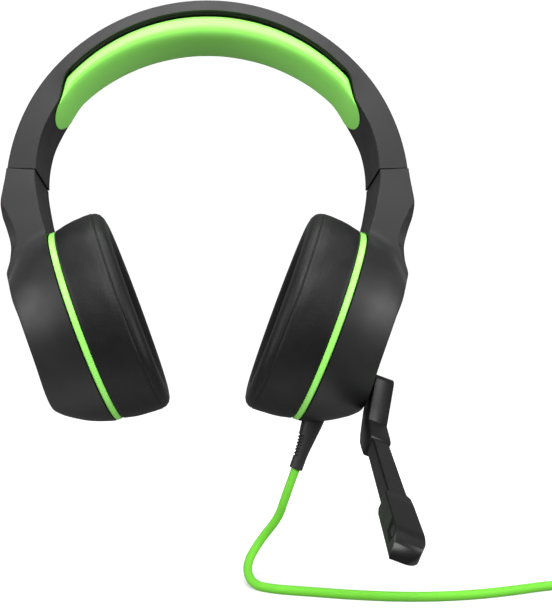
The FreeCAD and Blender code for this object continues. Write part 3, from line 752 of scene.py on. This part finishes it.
def face_height(y, v):
    """The outer face: flat where the arm ends, gently crowned lower down."""
    crowned = smoothstep(ARM_FOOT_V - v, 0.0, 15.0)
    crown = 1.2 - 2.2 * (y / 26.0) ** 2
    return FACE_N + crown * crowned + 0.5 * smoothstep(-v, 10.0, 28.0)


def face_edge(v):
    """Where the dome's side meets the outer face, at this height of the cup."""
    limit = DOME_LIMIT
    if v < 0.0:
        limit = min(limit, lean_reach(RING_LENGTH + v))
    return furthest(lambda n: n < face_height(flank_half_width(n, v), v), RIM_N, limit)


def side_reach(half, v):
    """How far out the dome's side is still wider than this, at this height of the cup."""
    return furthest(lambda n: flank_half_width(n, v) > half, RIM_N, DOME_LIMIT)


def station_curves():
    """The inner and the outer edge's n and v, each a function of the station, and the last station."""
    pairs = [(part_to_cup(*a), part_to_cup(*b)) for a, b in ARM_STATIONS] + CUP_STATIONS
    curves = []
    for end in (0, 1):
        for axis in (0, 1):
            curves.append(curve_through([(i, pair[end][axis]) for i, pair in enumerate(pairs)]))
    return curves, len(pairs) - 1


def side_share(k):
    """How far along the side its point k lies: closer together towards the outer face."""
    return 1.0 - (1.0 - k / SIDE_STEPS) ** 2.0


def wrapped(flank, face):
    """A whole section, from the front rim over the outer face to the back rim."""
    back = [(n, -half, v) for n, half, v in reversed(flank)]
    return [cup_to_part(n, -y, v) for n, y, v in flank + face + back]


def shell_row(inner, outer, chamfer):
    """A section of the arm between matching points of its inner and outer edge."""
    flank = []
    depth = math.hypot(outer[0] - inner[0], outer[1] - inner[1])
    reach = 1.0 - chamfer / depth
    for k in range(SIDE_STEPS + 1):
        t = side_share(k) * reach
        n = inner[0] + (outer[0] - inner[0]) * t
        v = inner[1] + (outer[1] - inner[1]) * t
        flank.append((n, flank_half_width(n, v), v))
    face_half = flank[-1][1] - chamfer
    face = [(outer[0], face_half * (1 - 2 * k / FACE_STEPS), outer[1]) for k in range(FACE_STEPS + 1)]
    return wrapped(flank, face)


def dome_row(v):
    """A section straight across the cup; below the outer face's end, its width shrinks with the rim's."""
    level = max(v, FACE_BOTTOM)
    edge = face_edge(level)
    half = flank_half_width(edge, level)
    if v < FACE_BOTTOM:
        half *= flank_half_width(RIM_N, v) / flank_half_width(RIM_N, level)
        edge = side_reach(half, v)
    flank = []
    for k in range(SIDE_STEPS + 1):
        n = RIM_N + (edge - RIM_N) * side_share(k)
        flank.append((n, flank_half_width(n, v), v))
    face = []
    for k in range(FACE_STEPS + 1):
        y = half * (0.97 - 1.94 * k / FACE_STEPS)
        face.append((min(face_height(y, v), side_reach(abs(y), v)), y, v))
    return wrapped(flank, face)


def shell_rows():
    (in_n, in_v, out_n, out_v), last = station_curves()
    rows = []
    for t in np.linspace(0.0, last, ARM_ROWS):
        inner = (in_n(t), in_v(t))
        outer = (out_n(t), out_v(t))
        rows.append(shell_row(inner, outer, edge_chamfer(t)))
    for v in np.linspace(24.0, FACE_BOTTOM, DOME_ROWS):
        rows.append(dome_row(v))
    left = RING_LENGTH - 0.1 + FACE_BOTTOM
    for k in range(1, BOTTOM_ROWS + 1):
        rows.append(dome_row(FACE_BOTTOM - left * (1.0 - (1.0 - k / BOTTOM_ROWS) ** 1.4)))
    return rows


def box_tool(name, low, high, place):
    """A box to cut with, its corners given as (depth, a, b)."""
    outline = [(low[1], low[2]), (high[1], low[2]), (high[1], high[2]), (low[1], high[2])]
    rows = [[place(depth, a, b) for a, b in outline] for depth in (low[0], high[0])]
    return grid(name, rows, ring=True, caps=(True, True))


def make_cup_shells():
    for label, side in SIDES:
        shell = grid("cup_outer_" + label, mirrored_rows(shell_rows(), side))
        trimmed(shell, side, False, SEAM_GAP)
        dress(shell, SHELL_GREY, INNER_BLACK)
        thicken(shell, CUP_WALL, 1)
        if label == "right":
            y, v = WHEEL_CENTRE
            room = WHEEL_R + WHEEL_GAP
            low = (WHEEL_N[0] - WHEEL_GAP, y - 4.0, v - room)
            high = (WHEEL_N[1] + WHEEL_GAP, y + 16.0, v + room)
            cut(shell, box_tool("slot_tool", low, high, cup_to_part))
        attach(shell, label + "_side")
        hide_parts("cup_shell_" + label)


ARM_COVER_END = 6.95


def make_arm_covers():
    """The black inner face of each arm, down to the cup's rim."""
    (in_n, in_v, out_n, out_v), _ = station_curves()
    for label, side in SIDES:
        rows = []
        for t in np.linspace(0.0, ARM_COVER_END, 50):
            inner = cup_to_part(in_n(t), 0.0, in_v(t))
            outer = cup_to_part(out_n(t), 0.0, out_v(t))
            across = Vector((outer[0] - inner[0], 0.0, outer[2] - inner[2])).normalized()
            half = BAND_HALF_WIDTH - COVER_INSET
            section = [(0.45, -half), (0.2, 0.25 - half), (0.2, half - 0.25), (0.45, half)]
            rows.append([(inner[0] + across.x * d, y, inner[2] + across.z * d) for d, y in section])
        cover = grid("arm_inner_cover_" + label, mirrored_rows(rows, side))
        trimmed(cover, side, False, SEAM_GAP)
        aim_faces(cover, (0.0, 0.0, BAND_CENTRE_Z))
        dress(cover, INNER_BLACK)
        thicken(cover, 1.6)
        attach(cover, label + "_side")
        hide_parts("arm_cover_" + label)


# ---- trim ring and ear cushion ----

def oval_rows(profile, steps, ripple=None):
    """A (half_length, n) profile carried round the cup's oval."""
    rows = []
    for s in range(steps):
        turn = 2 * math.pi * s / steps
        row = []
        for length, n in profile:
            width = length - (RING_LENGTH - RING_WIDTH)
            lift = ripple(turn, n) if ripple else 0.0
            y = (width + lift) * math.sin(turn)
            v = (length + lift) * math.cos(turn)
            row.append(cup_to_part(n, y, v))
        rows.append(row)
    return rows


RING_WALL = 3.4


def make_trim_rings():
    soft = 0.45
    outer = RING_LENGTH
    inner = RING_LENGTH - RING_WALL
    low = RING_N - RING_DEPTH
    profile = [(outer - soft, RING_N), (outer, RING_N - soft), (outer, low + soft), (outer - soft, low)]
    profile += [(inner, low), (inner, RING_N)]
    for label, side in SIDES:
        rows = oval_rows(profile, 144)
        ring = grid("green_ring_" + label, mirrored_rows(rows, side), ring=True, loop=True)
        dress(ring, ACCENT_GREEN)
        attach(ring, label + "_side")
        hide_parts("trim_ring_" + label)


SEAM_N = -20.6
CUSHION_KNOTS = [
    (44.0, -2.0), (45.3, -1.85), (46.1, -2.5), (47.1, -7.0), (47.8, -12.0), (48.2, -16.5),
    (48.1, -20.2), (47.85, -20.4), (47.7, SEAM_N), (47.8, -20.8), (47.85, -21.0), (47.4, -22.4),
    (46.3, -23.9), (44.5, -24.9), (41.5, -25.5), (38.2, -25.0), (35.6, -23.7), (33.6, -22.1),
    (32.8, -21.3), (32.6, -22.0), (31.8, -22.4), (31.0, -22.1), (30.7, -21.2), (30.2, -18.0),
    (29.8, -12.0), (29.5, -6.0), (29.3, -4.6),
]


def refined(knots, steps):
    """More points along a profile, keeping its sharp turns."""
    fine = []
    for (a, b), (c, d) in zip(knots, knots[1:]):
        for k in range(steps):
            fine.append((a + (c - a) * k / steps, b + (d - b) * k / steps))
    return fine + [knots[-1]]


def leather_ripple(turn, n):
    """Small gathers beside the seam and soft unevenness of the stuffing."""
    near_seam = math.exp(-(((n - SEAM_N) / 1.3) ** 2))
    gathers = 0.035 * math.sin(turn * 97.0 + 1.3 * math.sin(turn * 5.0))
    soft = 0.1 * math.sin(turn * 7.0 + n * 0.31) + 0.06 * math.sin(turn * 13.0 - n * 0.5)
    return gathers * near_seam + soft * min(1.0, max(0.0, (-n - 3.5) / 8.0))


def paint_inner_wall(cushion, side):
    """The knitted lining starts behind the piping, inside the ear opening."""
    for face in cushion.data.polygons:
        x, y, z = (c / MM for c in face.center)
        _, v = part_to_cup(x * side, z)
        inside = (y / 23.9) ** 2 + (v / 31.2) ** 2 < 1.0
        face.material_index = 1 if inside else 0


def make_cushions():
    for label, side in SIDES:
        rows = oval_rows(refined(CUSHION_KNOTS, 3), 288, leather_ripple)
        cushion = grid("ear_pad_" + label, mirrored_rows(rows, side), loop=True, sharp=70.0)
        dress(cushion, LEATHERETTE, SLEEVE_KNIT)
        paint_inner_wall(cushion, side)
        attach(cushion, label + "_side")
        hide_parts("ear_cushion_" + label)


# ---- microphone ----

def boom_to_part(n, along, across):
    """From the boom's own lines (along it, and across it towards its underside) to the part's frame."""
    y = BOOM_ORIGIN[0] - along * math.cos(BOOM_ANGLE) + across * math.sin(BOOM_ANGLE)
    v = BOOM_ORIGIN[1] - along * math.sin(BOOM_ANGLE) - across * math.cos(BOOM_ANGLE)
    return cup_to_part(n, y, v)


BRACKET_OUTLINE = [
    (-23.9, -34.9), (-38.6, -39.9), (-41.9, -41.4), (-39.6, -49.9), (-30.0, -47.6), (-23.4, -45.6),
    (-18.4, -42.4), (-8.0, -33.0),
]


def bracket_outline():
    """The bracket from the side: a round eye on the hub, an elbow and a square collar."""
    eye = []
    for degrees in range(-38, 143, 15):
        turn = math.radians(degrees)
        eye.append((MIC_PIVOT[0] + MIC_HUB_R * math.cos(turn), MIC_PIVOT[1] + MIC_HUB_R * math.sin(turn)))
    return eye + BRACKET_OUTLINE


def make_bracket():
    bracket = prism("boom_bracket", bracket_outline(), MIC_N[0], MIC_N[1], cup_to_part, 0.55)
    dress(bracket, BOOM_BLACK)
    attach(bracket, "microphone")
    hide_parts("mic_bracket")


def boom_rows(sections, soft):
    """Rectangles with cut corners along the boom: (along, n_low, n_high, top, bottom)."""
    rows = []
    for along, n_low, n_high, top, bottom in sections:
        s = min(soft, (bottom - top) / 2.2)
        outline = [(n_low + s, top), (n_high - s, top), (n_high, top + s), (n_high, bottom - s)]
        outline += [(n_high - s, bottom), (n_low + s, bottom), (n_low, bottom - s), (n_low, top + s)]
        rows.append([boom_to_part(n, along, across) for n, across in outline])
    return rows


def make_boom():
    stations = np.linspace(-5.0, BOOM_LENGTH + 1.0, 12)
    sections = [(along, BOOM_N[0], BOOM_N[1], -BOOM_HALF, BOOM_HALF) for along in stations]
    boom = grid("boom_arm", boom_rows(sections, 0.6), ring=True, caps=(True, True))
    dress(boom, BOOM_BLACK)
    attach(boom, "microphone")
    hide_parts("mic_boom")


TIP_NOSE_FROM = 30.0
TIP_TOP = -3.6
TIP_BOTTOM = 4.3
TIP_CORNER = 5.0


def tip_section(along):
    """Bevelled shoulders at the start and a quarter-round nose that ends in a lower edge."""
    top = -BOOM_HALF + (TIP_TOP + BOOM_HALF) * smoothstep(along, 0.0, 9.0)
    bottom = 3.4 + (TIP_BOTTOM - 3.4) * smoothstep(along, 4.4, 7.2)
    n_low = BOOM_N[0] + (TIP_N[0] - BOOM_N[0]) * smoothstep(along, 0.6, 5.0)
    n_high = BOOM_N[1] + (TIP_N[1] - BOOM_N[1]) * smoothstep(along, -0.4, 2.6)
    if along > TIP_NOSE_FROM:
        t = min(1.0, (along - TIP_NOSE_FROM) / (TIP_LENGTH - TIP_NOSE_FROM))
        top = TIP_BOTTOM - 0.4 - (TIP_BOTTOM - 0.4 - TIP_TOP) * math.sqrt(1.0 - t**2.1)
    from_end = TIP_LENGTH - along
    if from_end < TIP_CORNER:
        n_high -= TIP_CORNER - math.sqrt(TIP_CORNER**2 - (TIP_CORNER - from_end) ** 2)
    return (BOOM_LENGTH + along, n_low, n_high, top, bottom)


def make_tip():
    straight = list(np.linspace(-0.4, TIP_NOSE_FROM, 40))
    nose_length = TIP_LENGTH - TIP_NOSE_FROM
    nose = [TIP_NOSE_FROM + nose_length * math.sin(math.pi / 2 * k / 24) for k in range(1, 25)]
    sections = [tip_section(a) for a in straight + nose]
    tip = grid("microphone_body", boom_rows(sections, 0.4), ring=True, caps=(True, True), sharp=30.0)
    dress(tip, BOOM_BLACK)

    start = BOOM_LENGTH
    rim = [(start + 24.5, -3.9), (start + 37.5, -1.3), (start + 34.5, 2.2), (start + 25.6, 1.5)]
    floor = [(start + 25.6, -3.4), (start + 27.6, -2.8), (start + 28.4, 0.3), (start + 26.6, 0.6)]
    rows = [[boom_to_part(TIP_N[0] - 0.5, a, b) for a, b in rim]]
    rows.append([boom_to_part(TIP_N[0] + 2.4, a, b) for a, b in floor])
    cut(tip, grid("port_tool", rows, ring=True, caps=(True, True)))
    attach(tip, "microphone")
    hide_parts("mic_tip", "mic_port_mesh")

    slit = [(start + 26.2, -1.2), (start + 29.6, -0.6), (start + 30.4, 1.0), (start + 26.6, 0.9)]
    port = prism("microphone_port", slit, TIP_N[0] + 0.7, TIP_N[0] + 2.0, boom_to_part, 0.08)
    dress(port, WIRE)
    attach(port, "microphone")


# ---- strain relief, tie and plug ----

def round_rows(start, heading, profile, steps=48, shape=None, reference=(0.0, 1.0, 0.0)):
    """A (distance, radius) profile turned about a line; shape(turn, distance) can change the radius."""
    axis = Vector(heading).normalized()
    side = axis.cross(Vector(reference)).normalized()
    other = axis.cross(side)
    rows = []
    for distance, radius in profile:
        centre = Vector(start) + axis * distance
        row = []
        for s in range(steps):
            turn = 2 * math.pi * s / steps
            r = radius + (shape(turn, distance) if shape else 0.0)
            row.append(tuple(centre + (side * math.cos(turn) + other * math.sin(turn)) * r))
        rows.append(row)
    return rows


relief_radius = curve_through([
    (-68.0, 3.05), (-62.0, 3.1), (-58.0, 3.3), (-54.0, 3.75), (-50.0, 4.2), (-46.0, 4.7),
    (-42.0, 5.0), (-37.0, 5.3),
])


def relief_groove(turn, distance):
    """Small flexing notches in one side of the sleeve."""
    if not 14.0 < distance < 24.5:
        return 0.0
    facing = max(0.0, -math.cos(turn) - 0.3)
    return -0.5 * min(1.0, facing * 3.0) if (distance - 14.0) % 1.5 < 0.65 else 0.0


def make_strain_relief():
    top = -37.5
    start = cup_to_part(RELIEF_N, 0.0, top)
    end = cup_to_part(RELIEF_N, 0.0, RELIEF_Z[1])
    heading = Vector(end) - Vector(start)
    length = heading.length
    profile = [(length * step / 90, relief_radius(top - length * step / 90)) for step in range(90)]
    profile += [(length - 0.2, 3.05), (length, 2.8), (length, 2.0)]
    rows = round_rows(start, heading, profile, 48, relief_groove)
    sleeve = grid("cable_sleeve", rows, ring=True, caps=(True, True), sharp=38.0)
    dress(sleeve, RELIEF)
    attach(sleeve, "right_side")
    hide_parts("strain_relief")


def make_tie():
    """A soft strap round the coil's section."""
    inner = COIL_TURN_R[0] - CABLE_R - 0.8
    outer = COIL_TURN_R[-1] + CABLE_R + 0.8
    low = FLOOR_Z
    high = FLOOR_Z + COIL_LAYERS * 2 * CABLE_R + 0.8
    corner = 2.4
    loop = []
    for cx, cz, first in ((outer - corner, high - corner, 0), (inner + corner, high - corner, 90),
                          (inner + corner, low + corner, 180), (outer - corner, low + corner, 270)):
        for k in range(7):
            turn = math.radians(first + 15 * k)
            loop.append((cx + corner * math.cos(turn), cz + corner * math.sin(turn), turn))
    rows = []
    for radius, z, turn in loop:
        inward = (-math.cos(turn) * 0.8, -math.sin(turn) * 0.8)
        section = [(0.0, -2.8), (0.0, 2.8), (0.4, 3.0), (1.0, 2.8), (1.0, -2.8), (0.4, -3.0)]
        row = []
        for depth, across in section:
            r = radius + inward[0] * depth
            h = z + inward[1] * depth
            row.append((COIL_CENTRE[0] - r, COIL_CENTRE[1] + across, h))
        rows.append(row)
    tie = grid("coil_strap", rows, ring=True, loop=True)
    dress(tie, TIE)
    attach(tie, "right_side")
    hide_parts("cable_tie")
    return tie


def boot_groove(turn, distance):
    """Rings in the plug's bend guard; they are the same all the way round."""
    return -0.45 if 1.5 < distance < 7.5 and (distance - 1.5) % 1.6 < 0.7 else 0.0


def make_plug():
    start = TAIL_ROUTE[-1]
    profile = [(0.0, 2.0), (0.0, 2.5)]
    profile += [(d, 2.6 + 0.1 * d) for d in np.linspace(0.3, 8.0, 40)]
    profile += [(8.6, 3.9), (9.4, 4.0), (18.0, 4.0), (18.3, 3.7), (18.9, 3.7), (19.2, 4.0), (26.6, 4.0)]
    profile += [(27.5, 3.6), (PLUG_LENGTH, 2.9), (PLUG_LENGTH, 1.7)]
    rows = round_rows(start, PLUG_HEADING, profile, 40, boot_groove, reference=(0.0, 0.0, 1.0))
    plug = grid("plug_grip", rows, ring=True, caps=(True, True))
    dress(plug, BOOM_BLACK)
    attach(plug, "right_side")
    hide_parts("plug_body")
    return plug


# ---- floor and light, in metres ----

FLOOR_GLOW = (0.05, 1.0)
FLOOR_FRONT = -0.28
FLOOR_SIZE = 3.2
FLOOR_GLOW_REACH = 0.9
BACKDROP = 1.05
ROOM_LIGHT = 0.2


def make_floor():
    """A pale floor that stays white away from the object and shows only soft contact shadows."""
    half = FLOOR_SIZE / 2
    bpy.ops.mesh.primitive_plane_add(size=FLOOR_SIZE, location=(0.0, FLOOR_FRONT + half, FLOOR_Z * MM))
    floor = bpy.context.object
    floor.name = "floor"
    parts = base_material("floor_pale", (0.6, 0.6, 0.6), 0.9, 0.01, 400.0)
    material, nodes, links, shader, coordinates = parts
    shader.inputs["Specular IOR Level"].default_value = 0.0
    shader.inputs["Emission Color"].default_value = (1.0, 1.0, 1.0, 1.0)
    # The floor glows more towards the back, where the lamps reach it less.
    axes = nodes.new("ShaderNodeSeparateXYZ")
    glow = nodes.new("ShaderNodeMapRange")
    glow.inputs["From Min"].default_value = -half
    glow.inputs["From Max"].default_value = FLOOR_GLOW_REACH - half
    glow.inputs["To Min"].default_value = FLOOR_GLOW[0]
    glow.inputs["To Max"].default_value = FLOOR_GLOW[1]
    links.new(coordinates.outputs["Object"], axes.inputs["Vector"])
    links.new(axes.outputs["Y"], glow.inputs["Value"])
    links.new(glow.outputs["Result"], shader.inputs["Emission Strength"])
    dress(floor, material)
    # The bounce from below comes from lamps of its own, so that its strength can be set.
    floor.visible_diffuse = False
    floor.visible_glossy = False
    floor.visible_shadow = False


def make_world():
    """A white backdrop for the camera, and a dim room for the object."""
    world = bpy.data.worlds.new("studio")
    bpy.context.scene.world = world
    world.use_nodes = True
    nodes = world.node_tree.nodes
    links = world.node_tree.links
    nodes.clear()
    output = nodes.new("ShaderNodeOutputWorld")
    path = nodes.new("ShaderNodeLightPath")
    mix = nodes.new("ShaderNodeMixShader")
    links.new(path.outputs["Is Camera Ray"], mix.inputs["Fac"])
    for socket, strength in ((1, ROOM_LIGHT), (2, BACKDROP)):
        background = nodes.new("ShaderNodeBackground")
        background.inputs["Color"].default_value = (1.0, 1.0, 1.0, 1.0)
        background.inputs["Strength"].default_value = strength
        links.new(background.outputs["Background"], mix.inputs[socket])
    links.new(mix.outputs["Shader"], output.inputs["Surface"])


def area_light(name, place, target, size, power):
    """A soft rectangular lamp that looks at the target; metres and watts."""
    data = bpy.data.lights.new(name, "AREA")
    data.shape = "RECTANGLE"
    data.size = size[0]
    data.size_y = size[1]
    data.energy = power
    light = bpy.data.objects.new(name, data)
    light.location = place
    direction = Vector(target) - Vector(place)
    light.rotation_euler = direction.to_track_quat("-Z", "Y").to_euler()
    bpy.context.scene.collection.objects.link(light)
    return light


def make_lights():
    centre = (0.0, 0.0, -0.12)
    area_light("front_softbox", (0.0, -1.26, 0.7), centre, (0.95, 1.0), 33.0)
    area_light("top_softbox", (0.0, -0.2, 1.2), centre, (1.6, 0.5), 20.0)
    for label, side in SIDES:
        area_light("side_softbox_" + label, (side * 1.22, -0.44, 0.04), centre, (0.85, 0.5), 11.0)
        area_light("low_bounce_" + label, (side * 0.72, 0.26, -1.04), centre, (0.9, 0.85), 1.0)
    area_light("under_softbox", (0.0, -0.2, -1.1), centre, (1.3, 0.7), 3.5)
    bpy.context.scene.view_settings.view_transform = "Standard"


# ---- put it together ----

make_headband_shell()
make_band_covers()
make_pad()
make_cup_shells()
make_arm_covers()
make_trim_rings()
make_cushions()
make_bracket()
make_boom()
make_tip()
make_strain_relief()
tie = make_tie()
plug = make_plug()

dress(cable, CABLE_GREEN)
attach(cable, "right_side")
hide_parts("cable_lead", "cable_coil", "cable_tail", "cable_core")

make_floor()
make_world()
make_lights()
